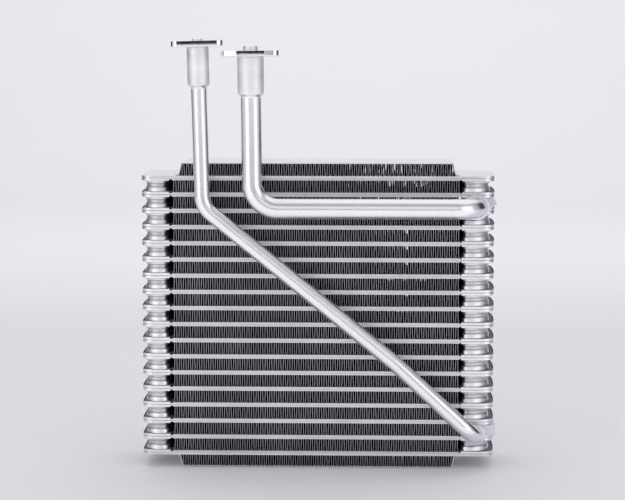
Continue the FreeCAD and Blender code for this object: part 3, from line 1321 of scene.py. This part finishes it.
@dataclass
class Fins:
    """Corrugated strips between the levels and outside the end plates.

    Args:
        height: Height of a strip between two levels.
        outer_height: Height of a strip outside an end plate.
        depth: Depth of the strips.
        end_gap: From a strip's end to the end of the fin zone.
        outer_half: Half length of the outer strips.
        half_waves: Number of walls of a strip between two levels.
        strip: Thickness of the sheet.
        variants: Number of strips that are folded, to be copied by chance.
        wander: How unevenly the walls stand.
        inner_wander: How unevenly they stand inside as well.
        inner_shift: How far they go to one side there.
        cloud_size: Size of the pattern that they wander by.
        crest_share: Quarter of a crest as a share of the pitch.
        quiet_end: Length at each end without the inner wander.
        quiet_front: Y up to which the inner wander goes.
        fold_cuts: Y at which the walls are cut, so that they can wander.
    """

    height: float = 7.65
    outer_height: float = 7.3
    depth: float = 53.0
    end_gap: float = 0.3
    outer_half: float = 87.1
    half_waves: int = 126
    strip: float = 0.3
    variants: int = 4
    wander: float = 0.5
    inner_wander: float = 3.2
    inner_shift: float = 0.85
    cloud_size: float = 3.2
    crest_share: float = 0.108
    quiet_end: float = 3.0
    quiet_front: float = 12.0
    fold_cuts: tuple[float, ...] = (-9.0, 9.0)

    def build(self) -> list[str]:
        """Folds a few strips and copies them to their places.

        Returns:
            The names of the pieces.
        """
        finish = STRIP.material()
        left = STACK.fin_edge(Side.LEFT) + self.end_gap
        right = STACK.fin_edge(Side.RIGHT) - self.end_gap
        waves = self.half_waves // 2
        pitch = (right - left) / waves
        patterns = [
            self._strip(f"fin_pattern_{i}", left, waves, pitch, self.height, 31.0 * i)
            for i in range(self.variants)
        ]
        chooser = random.Random(7)
        names = []
        for gap in range(1, STACK.levels):
            floor = STACK.seam(gap + 1) + STACK.pair / 2
            strip = chooser.choice(patterns).copy(f"folded_fin_{gap + 1:02d}", (0.0, 0.0, floor))
            strip.dress(finish, "fin", [f"fin_{gap + 1:02d}"])
            names.append(strip.obj.name)
        for pattern in patterns:
            pattern.discard()
        outer_waves = round(2 * self.outer_half / pitch)
        outer_pitch = 2 * self.outer_half / outer_waves
        top = STACK.seam(1) + STACK.end_thickness
        for number, floor in ((1, top), (STACK.levels + 1, STACK.side_thickness)):
            strip = self._strip(
                f"folded_fin_{number:02d}",
                -self.outer_half,
                outer_waves,
                outer_pitch,
                self.outer_height,
                200.0 + number,
            )
            if number > 1:
                strip.turn_over(self.outer_height / 2)
            strip.seat(Matrix.Translation((0.0, 0.0, floor * MM)))
            strip.dress(finish, "fin", [f"fin_{number:02d}"])
            names.append(strip.obj.name)
        return names

    def _strip(
        self, name: str, left: float, waves: int, pitch: float, height: float, seed: float
    ) -> Workpiece:
        """Folds one wave by extruding an edge, repeats it and gives the strip its thickness.

        Args:
            name: Name of the object.
            left: X of its left end.
            waves: Number of waves.
            pitch: Length of a wave.
            height: Height of the strip.
            seed: How far the wander pattern is moved along X.

        Returns:
            The strip.
        """
        crest = pitch * self.crest_share
        top = height - self.strip
        strip = Workpiece.sheet(name, left, left + crest, self.depth)
        foot, knee = (crest * 0.7, 0.16), (crest * 0.3, 0.30)
        wall = (pitch / 2 - crest * 4, top - 0.92)
        rise = [foot, knee, wall, knee, foot, (crest * 2, 0.0)]
        fall = [(run, -lift) for run, lift in reversed(rise[:-1])]
        with strip.editing():
            strip.edges(lambda m, d: m.x > left + crest * 0.9 and abs(d.y) > ALONG)
            for run, lift in [*rise, *fall, (crest, 0.0)]:
                strip.extrude((run, 0.0, lift))
            strip.cut(1, list(self.fold_cuts))
        strip.modify(
            "ARRAY",
            count=waves,
            use_relative_offset=False,
            use_constant_offset=True,
            constant_offset_displace=(pitch * MM, 0.0, 0.0),
            use_merge_vertices=True,
            merge_threshold=0.01 * MM,
        )
        strip.obj.vertex_groups.new(name="inner")
        with strip.editing():
            start, end = left + self.quiet_end, left + waves * pitch - self.quiet_end
            strip.points(lambda p: abs(p.y) < self.quiet_front and start < p.x < end)
            bpy.ops.object.vertex_group_assign()
        clouds = bpy.data.textures.new(name + "_wander", "CLOUDS")
        clouds.noise_scale = self.cloud_size * MM
        strip.seat(Matrix.Translation((seed * MM, 0.0, self.strip / 2 * MM)))
        shift = self.inner_shift / self.inner_wander
        for strength, middle, group in (
            (self.wander, 0.5, ""),
            (self.inner_wander, 0.5 - shift, "inner"),
        ):
            strip.modify(
                "DISPLACE",
                texture=clouds,
                texture_coords="LOCAL",
                direction="X",
                strength=strength * MM,
                mid_level=middle,
                vertex_group=group,
            )
        bpy.data.textures.remove(clouds)
        strip.obj.vertex_groups.clear()
        strip.seat(Matrix.Translation((-seed * MM, 0.0, 0.0)))
        strip.modify("SOLIDIFY", thickness=self.strip * MM, offset=0.0)
        strip.smooth(50.0)
        return strip


@dataclass
class SidePlates:
    """Thin sheets over the outer fins, ends bent to the end plates.

    Args:
        length: Length between the bends.
        depth: Depth of the sheets.
        leg_run: How far a leg runs out on its way to the end plate.
        foot: Length of the foot on the end plate.
        edge_round: Round of the edges.
    """

    length: float = 173.2
    depth: float = 50.0
    leg_run: float = 1.8
    foot: float = 2.5
    edge_round: float = 0.15

    def build(self) -> list[str]:
        """Bends the lower plate and mirrors a copy to the top.

        Returns:
            The names of the pieces.
        """
        finish = EDGE_SHEET.material()
        rise = STACK.lowest_seam - STACK.end_thickness - STACK.side_thickness
        half = self.length / 2
        plate = Workpiece.sheet("side_sheet_bottom", -half, half, self.depth)
        with plate.editing():
            for side in (-1, 1):
                plate.edges(lambda m, d, s=side: s * m.x > half - 2 * NEAR and abs(d.y) > ALONG)
                plate.extrude((side * self.leg_run, 0.0, rise))
                plate.extrude((side * self.foot, 0.0, 0.0))
        plate.tidy()
        plate.modify("SOLIDIFY", thickness=STACK.side_thickness * MM, offset=-1.0)
        plate.tidy()
        with plate.editing():
            bpy.ops.mesh.select_all(action="SELECT")
            low = min(vert.co.z for vert in bmesh.from_edit_mesh(plate.obj.data).verts)
            plate.slide((0.0, 0.0, -low / MM))
        plate.ease(self.edge_round, 2, 0.5)
        plate.smooth(40.0)
        top = plate.copy("side_sheet_top")
        top.turn_over((2 * STACK.lowest_seam + (STACK.levels - 1) * STACK.pitch) / 2)
        top.smooth(40.0)
        plate.settle()
        top.settle()
        plate.dress(finish, "side_plate", ["side_plate_bottom"])
        top.dress(finish, "side_plate", ["side_plate_top"])
        return [plate.obj.name, top.obj.name]


# Pipes

FLANGE_THICKNESS = 3.8


@dataclass
class Tubing:
    """One pipe: nose, enlarged body, shoulder, bent tube.

    Args:
        name: Name of the piece and of its CAD node.
        corners: Corners of the centre line from the flange plate's seat down.
        bends: Radius of the bend at each inner corner.
        diameter: Of the tube.
        body: Diameter and length of the enlarged body.
        nose: Diameter, bore and reach above the flange plate.
        shoulder: Length from the body's end to the tube.
        bore_depth: How deep the bore goes.
        sides: Number of sides of the tube.
    """

    name: str
    corners: tuple[Triple, ...]
    bends: tuple[float, ...]
    diameter: float
    body: tuple[float, float]
    nose: tuple[float, float, float]
    shoulder: float = 3.4
    bore_depth: float = 6.0
    sides: int = 48

    def build(self) -> list[str]:
        """Draws the pipe ring by ring from its nose to its foot.

        Returns:
            The name of the piece.
        """
        corners = [Vector(corner) for corner in self.corners]
        down = (corners[1] - corners[0]).normalized()
        height = FLANGE_THICKNESS + self.nose[2]
        self._at = corners[0] - down * (height - self.bore_depth)
        self._radius = self.nose[1] / 2
        pipe = Workpiece.hoop(
            self.name + "_drawn", self._at, down, self._radius, self.sides
        )
        with pipe.editing():
            bpy.ops.mesh.select_mode(type="EDGE")
            bpy.ops.mesh.select_all(action="SELECT")
            bpy.ops.mesh.edge_face_add()
            pipe.open_edges()
            for radius, step in self._end_rings():
                self._ring(pipe, down * step, radius)
            for turn, bend in zip(range(1, len(corners) - 1), self.bends):
                self._run_and_bend(pipe, corners, turn, bend)
            self._ring(pipe, corners[-1] - self._at, self.diameter / 2)
            bpy.ops.mesh.edge_face_add()
        pipe.tidy()
        pipe.smooth(38.0)
        pipe.dress(DRAWN.material(), "pipe", [self.name, self.name + "_end"])
        pipe.obj.data.materials.append(SWAGED.material())
        pipe.obj.data.materials.append(MACHINED.material())
        foot = corners[0].z - self.body[1] - self.shoulder * 0.4
        with pipe.editing():
            for number, above in ((1, foot), (2, corners[0].z + FLANGE_THICKNESS)):
                pipe.faces(lambda m, n, z=above: m.z > z)
                pipe.obj.active_material_index = number
                bpy.ops.object.material_slot_assign()
        return [pipe.obj.name]

    def _end_rings(self) -> list[tuple[float, float]]:
        """Radius and step of each ring of the nose, the body and the shoulder.

        Returns:
            A radius and a step down the pipe for each ring.
        """
        nose, bore = self.nose[0] / 2, self.nose[1] / 2
        large, tube = self.body[0] / 2, self.diameter / 2
        height = FLANGE_THICKNESS + self.nose[2]
        rings = [
            (bore, 0.3 - self.bore_depth),
            (bore + 0.3, -0.3),
            (nose - 0.35, 0.0),
            (nose - 0.1, 0.1),
            (nose, 0.3),
            (nose, height - 0.4),
            (large - 0.7, 0.0),
            (large - 0.2, 0.15),
            (large, 0.55),
            (large, (self.body[1] - 0.7) / 2),
            (large, (self.body[1] - 0.7) / 2),
        ]
        steps = 8
        for step in range(1, steps + 1):
            share = (1 - math.cos(math.pi * step / steps)) / 2
            rings.append((large + (tube - large) * share, self.shoulder / steps))
        return rings

    def _ring(self, pipe: Workpiece, offset: Vector, radius: float) -> None:
        """Extrudes the open ring and gives it a new radius.

        Args:
            pipe: The pipe that is drawn.
            offset: How far the ring goes.
            radius: Its new radius.
        """
        pipe.extrude(tuple(offset))
        self._at = self._at + offset
        if abs(radius - self._radius) > 1e-6:
            factor = radius / self._radius
            pipe.stretch((factor, factor, factor), self._at)
            self._radius = radius

    def _run_and_bend(
        self, pipe: Workpiece, corners: list[Vector], turn: int, bend: float
    ) -> None:
        """Draws the straight run up to a bend, then spins the ring through the bend.

        Args:
            pipe: The pipe that is drawn.
            corners: Corners of the centre line.
            turn: Number of the corner to bend at.
            bend: Radius of the bend.
        """
        inward = (corners[turn] - corners[turn - 1]).normalized()
        outward = (corners[turn + 1] - corners[turn]).normalized()
        angle = inward.angle(outward)
        tangent = bend * math.tan(angle / 2)
        start = corners[turn] - inward * tangent
        self._ring(pipe, start - self._at, self.diameter / 2)
        axis = inward.cross(outward).normalized()
        centre = start + axis.cross(inward) * bend
        bpy.ops.mesh.spin(
            steps=max(6, round(math.degrees(angle) / 5)),
            angle=-angle,
            center=centre * MM,
            axis=axis,
        )
        self._at = corners[turn] + outward * tangent


@dataclass
class FlangePlate:
    """Plate on a pipe's upper end, with two bolt holes.

    Args:
        name: Name of the piece and of its CAD node.
        seat: Middle of its underside.
        up: Direction of the pipe.
        length: Its length.
        crown: How far its long sides bulge.
        hole: Diameter of the middle hole.
        spacing: Distance of the bolt holes.
        depth: Its depth at the middle.
        corner: Radius of its corners.
        under_round: Round of its lower edge.
        edge_round: Round of its other edges.
        bolt: Diameter of the bolt holes.
    """

    name: str
    seat: Vector
    up: Vector
    length: float
    crown: float
    hole: float
    spacing: float
    depth: float = 20.0
    corner: float = 4.5
    under_round: float = 0.85
    edge_round: float = 0.4
    bolt: float = 6.4

    def build(self) -> list[str]:
        """Shapes the plate flat, drills it and seats it on the pipe.

        Returns:
            The name of the piece.
        """
        half = self.length / 2
        reach = self.depth / 2 - self.crown
        plate = Workpiece.block(
            self.name + "_plate", (-half, -reach, 0.0), (half, reach, FLANGE_THICKNESS)
        )
        straight = half - self.corner
        with plate.editing():
            plate.edges(lambda m, d: abs(d.z) > ALONG)
            plate.bevel(self.corner, 6)
            shares = [0.75, 0.5, 0.25, 0.0, -0.25, -0.5, -0.75]
            plate.cut(0, [straight * share for share in shares])
            for share in shares:
                rise = self.crown * (1 - share * share)
                for side in (-1, 1):
                    plate.points(
                        lambda p, x=straight * share, s=side: abs(p.x - x) < NEAR
                        and s * p.y > reach - 2 * NEAR
                    )
                    plate.slide((0.0, side * rise, 0.0))
            plate.sharp_edges(lambda m: m.z < NEAR)
            plate.bevel(self.under_round, 3)
        plate.tidy()
        for x, diameter in (
            (0.0, self.hole),
            (-self.spacing / 2, self.bolt),
            (self.spacing / 2, self.bolt),
        ):
            foot = Vector((x, 0.0, -1.0))
            top = Vector((x, 0.0, FLANGE_THICKNESS + 1.0))
            plate.drill(Workpiece.drum("drill", foot, top, diameter / 2, 40))
        plate.tidy()
        plate.ease(self.edge_round, 3)
        lean = Matrix.Rotation(math.atan2(self.up.x, self.up.z), 4, "Y")
        plate.seat(Matrix.Translation(self.seat * MM) @ lean)
        plate.smooth(35.0)
        plate.settle()
        plate.dress(MACHINED.material(), "flange", [self.name])
        return [plate.obj.name]


@dataclass
class Port:
    """Adapter on the right tank: block between the rims and a round boss.

    Args:
        name: Name of the piece and of its CAD node.
        level: The level just above it.
        x: X of the boss.
        height: Height of the boss.
        pipe: Diameter of the pipe that enters it.
        wedge: Bevel that brings its outer end to a point.
        inner_gap: From the tank's inner edge to the block.
        inner_corner: Radius of the block's inner corners.
        edge_round: Round of the block's edges.
        ring_round: Round of the boss.
        wall: From the pipe to the outside of the boss.
        reach: How far the boss stands out in front.
        overhang: How far the block stands out at the end.
        back: Y of the block's back.
    """

    name: str
    level: int
    x: float
    height: float
    pipe: float
    wedge: float = 0.0
    inner_gap: float = 0.7
    inner_corner: float = 4.5
    edge_round: float = 0.5
    ring_round: float = 0.3
    wall: float = 1.8
    reach: float = 6.5
    overhang: float = 1.6
    back: float = 25.5

    def build(self) -> list[str]:
        """Shapes the block, the boss and the braze ring.

        Returns:
            The name of the piece.
        """
        floor = STACK.seam(self.level + 1) + STACK.rim / 2
        roof = STACK.seam(self.level) - STACK.rim / 2
        left = STACK.tank_edge(Side.RIGHT) + self.inner_gap
        right = STACK.half_length + self.overhang
        front = -STACK.half_depth
        block = Workpiece.block(
            self.name + "_block", (left, front, floor), (right, self.back, roof)
        )
        with block.editing():
            block.edges(lambda m, d: abs(d.z) > ALONG and m.x < left + 2 * NEAR)
            block.bevel(self.inner_corner, 6)
            if self.wedge > 0.0:
                block.edges(lambda m, d: m.x > right - 2 * NEAR and abs(d.y) > ALONG)
                block.bevel(self.wedge, 1)
        block.ease(self.edge_round, 3)
        radius = self.pipe / 2 + self.wall
        root = Vector((self.x, front + 2.0, self.height))
        mouth = Vector((self.x, front - self.reach, self.height))
        boss = Workpiece.drum("boss", root, mouth, radius, 48)
        with boss.editing():
            boss.faces(lambda m, n: n.y < -ALONG)
            boss.inset(0.5, 0.35)
            boss.inset(self.wall - 0.75, 0.25)
        boss.ease(self.ring_round, 2)
        block.join([boss])
        block.smooth(38.0)
        block.settle()
        block.dress(BLOCK.material(), "port", [self.name])
        return [block.obj.name]


def leg(foot: Vector, lean: float, height: float) -> tuple[Vector, Vector]:
    """Top of a leaning leg and its direction.

    Args:
        foot: Lower corner of the leg.
        lean: Angle to the left in degrees.
        height: Height of the top.

    Returns:
        The top and the unit vector up the leg.
    """
    up = Vector((-math.sin(math.radians(lean)), 0.0, math.cos(math.radians(lean))))
    return foot + up * ((height - foot.z) / up.z), up


@dataclass
class Plumbing:
    """Both pipes with their flange plates and ports.

    Args:
        port_x: X of both ports.
        port_drop: How far a port lies under the middle of its gap.
        seat: From the core's front to the end of a pipe.
        suction_y: Y of the suction pipe's centre line.
        liquid_y: Y of the liquid pipe's centre line.
    """

    port_x: float = 101.6
    port_drop: float = 2.0
    seat: float = 2.0
    suction_y: float = -51.0
    liquid_y: float = -48.0

    def build(self) -> list[str]:
        """Builds the suction side, then the liquid side.

        Returns:
            The names of the pieces.
        """
        return [*self._suction(), *self._liquid()]

    def _suction(self) -> list[str]:
        """Builds the wider pipe, which enters the upper port.

        Returns:
            The names of the pieces.
        """
        level = STACK.port_gaps[0]
        height = self._port_height(level)
        foot = Vector((-39.8, self.suction_y, height))
        top, up = leg(foot, 0.65, 265.2)
        corners = (
            top,
            foot,
            (self.port_x, self.suction_y, height),
            (self.port_x, -STACK.half_depth - self.seat, height),
        )
        pipe = Tubing(
            "suction_pipe",
            corners,
            bends=(16.5, 15.0),
            diameter=13.0,
            body=(16.7, 22.5),
            nose=(9.2, 6.4, 2.8),
        )
        flange = FlangePlate(
            "suction_flange", top, up, length=36.2, crown=2.0, hole=9.3, spacing=26.0
        )
        port = Port("suction_port", level, self.port_x, height, pipe.diameter, wedge=3.1)
        return [*pipe.build(), *flange.build(), *port.build()]

    def _liquid(self) -> list[str]:
        """Builds the thinner pipe, which crosses the core to the lower port.

        Returns:
            The names of the pieces.
        """
        level = STACK.port_gaps[1]
        height = self._port_height(level)
        foot = Vector((-71.6, self.liquid_y, 170.5))
        top, up = leg(foot, 1.55, 271.2)
        corners = (
            top,
            foot,
            (50.0, self.liquid_y, 71.3),
            (self.port_x, self.liquid_y, height),
            (self.port_x, -STACK.half_depth - self.seat, height),
        )
        pipe = Tubing(
            "liquid_pipe",
            corners,
            bends=(16.0, 45.0, 12.0),
            diameter=10.0,
            body=(13.9, 23.0),
            nose=(6.6, 4.2, 1.2),
        )
        flange = FlangePlate(
            "liquid_flange", top, up, length=32.7, crown=0.3, hole=6.7, spacing=23.0
        )
        port = Port("liquid_port", level, self.port_x, height, pipe.diameter)
        return [*pipe.build(), *flange.build(), *port.build()]

    def _port_height(self, level: int) -> float:
        """Height of a port under the middle of the neck below its level."""
        return STACK.seam(level) - STACK.pitch / 2 - self.port_drop


# Studio


@dataclass
class Softbox:
    """Rectangular area light aimed at the core.

    Args:
        name: Name of the light.
        place: Where it stands, in metres.
        size: Width and height in metres.
        power: In watts.
        aim: Where it points, in metres.
        gleam: Whether it only shows in the metal, as a white card would.
    """

    name: str
    place: Triple
    size: tuple[float, float]
    power: float
    aim: Triple = (0.0, 0.0, 0.14)
    gleam: bool = False

    def build(self) -> None:
        """Adds the light."""
        data = bpy.data.lights.new(self.name, "AREA")
        data.shape = "RECTANGLE"
        data.size, data.size_y = self.size
        data.energy = self.power
        lamp = bpy.data.objects.new(self.name, data)
        bpy.context.collection.objects.link(lamp)
        lamp.location = self.place
        toward = Vector(self.aim) - Vector(self.place)
        lamp.rotation_euler = toward.to_track_quat("-Z", "Y").to_euler()
        lamp.visible_diffuse = not self.gleam
        lamp.visible_camera = not self.gleam


@dataclass
class Flag:
    """Black card that only shows in the metal, as a photographer would hang it.

    Args:
        name: Name of the card.
        place: Its middle, in metres.
        size: Width and height in metres.
    """

    name: str
    place: Triple
    size: tuple[float, float]

    def build(self) -> None:
        """Adds the card, square to the line to the core."""
        card = Workpiece.sheet(self.name, -500.0, 500.0, 1000.0)
        facing = Vector((-self.place[0], -self.place[1], 0.0)).to_track_quat("Z", "Y")
        size = Matrix.Diagonal((*self.size, 1.0, 1.0))
        card.seat(Matrix.Translation(self.place) @ facing.to_matrix().to_4x4() @ size)
        black = Plain(self.name + "_cloth", (0.02, 0.02, 0.025), 1.0, 0.0)
        card.obj.data.materials.append(black.material())
        card.obj.visible_camera = False
        card.obj.visible_diffuse = False
        card.obj.visible_shadow = False


@dataclass
class Studio:
    """Pale cove, soft light and the camera, in millimetres where nothing else is said.

    Args:
        sweep: Radius from the floor to the backdrop.
        sweep_steps: Number of faces of that round.
        cove_size: Width and depth of the floor.
        backdrop: Height of the wall above the round.
        paper: Colour of the cove.
        air: Colour of the light from all sides.
        air_strength: Its strength.
        lens: Focal length of the camera.
        camera_place: Where the camera stands.
        camera_target: Where it looks.
    """

    sweep: float = 600.0
    sweep_steps: int = 12
    cove_size: tuple[float, float] = (6000.0, 4000.0)
    backdrop: float = 3000.0
    paper: Colour = (0.88, 0.875, 0.905)
    air: Colour = (0.86, 0.86, 0.90)
    air_strength: float = 0.57
    lens: float = 137.4
    camera_place: Triple = (50.24, -1546.56, 292.70)
    camera_target: Triple = (-2.75, -29.0, 141.4)

    def build(self) -> None:
        """Adds the cove, the lights, the world and the camera."""
        self._cove()
        self._world()
        for box in (
            Softbox("box_left", (-0.98, -1.02, 0.42), (1.0, 1.0), 3.3),
            Softbox("box_right", (1.1, -0.88, 0.42), (1.0, 1.0), 3.0),
            Softbox("box_front", (0.0, -2.1, 0.68), (1.6, 1.2), 3.2),
            Softbox("box_top", (0.0, 0.30, 1.5), (2.7, 2.0), 9.8),
            Softbox("box_wall", (0.0, 1.0, 1.5), (2.4, 0.5), 15.0, (0.0, 3.0, 1.0)),
            Softbox("card_low", (0.0, -0.53, 0.004), (2.2, 0.92), 2.2, (0.0, -0.53, 1.0), True),
        ):
            box.build()
        for flag in (
            Flag("flag_front", (-0.15, -2.0, 0.235), (1.7, 0.17)),
            Flag("flag_left", (-1.5, 0.75, 0.5), (1.1, 1.4)),
            Flag("flag_right", (1.5, 0.75, 0.5), (1.1, 1.4)),
        ):
            flag.build()
        self._camera()

    def _cove(self) -> None:
        """Floor that sweeps up into a backdrop."""
        width, depth = self.cove_size
        cove = Workpiece.sheet("cove", -width / 2, width / 2, depth)
        with cove.editing():
            cove.edges(lambda m, d: m.y > depth / 2 - 10 and abs(d.x) > ALONG)
            for step in range(1, self.sweep_steps + 1):
                before = math.radians(90 * (step - 1) / self.sweep_steps)
                after = math.radians(90 * step / self.sweep_steps)
                back = self.sweep * (math.sin(after) - math.sin(before))
                up = self.sweep * (math.cos(before) - math.cos(after))
                cove.extrude((0.0, back, up))
            cove.extrude((0.0, 0.0, self.backdrop))
        cove.smooth(60.0)
        paper = Plain("backdrop_paper", self.paper, 0.75)
        cove.obj.data.materials.append(paper.material())

    def _world(self) -> None:
        """Even light from all sides."""
        world = bpy.data.worlds.new("studio_air")
        world.use_nodes = True
        back = world.node_tree.nodes["Background"]
        back.inputs["Color"].default_value = (*self.air, 1.0)
        back.inputs["Strength"].default_value = self.air_strength
        bpy.context.scene.world = world

    def _camera(self) -> None:
        """Camera at the photograph's angle."""
        scene = bpy.context.scene
        data = bpy.data.cameras.new("camera")
        data.sensor_width = 36.0
        data.lens = self.lens
        data.clip_start = 0.05
        data.clip_end = 50.0
        camera = bpy.data.objects.new("camera", data)
        scene.collection.objects.link(camera)
        place = Vector(self.camera_place) * MM
        target = Vector(self.camera_target) * MM
        camera.location = place
        camera.rotation_euler = (target - place).to_track_quat("-Z", "Y").to_euler()
        scene.camera = camera
        scene.view_settings.view_transform = "Standard"
        scene.view_settings.look = "None"


def main() -> None:
    """Builds every sub-assembly in order and reports its pieces."""
    logging.basicConfig(level=logging.INFO, format="%(message)s")
    Studio().build()
    for part in (FlowPlates(), Fins(), SidePlates(), Plumbing()):
        names = part.build()
        for name in names:
            faces = len(bpy.data.objects[name].data.polygons)
            log.info("%s: %s, %d faces", type(part).__name__, name, faces)


if __name__ == "__main__":
    main()
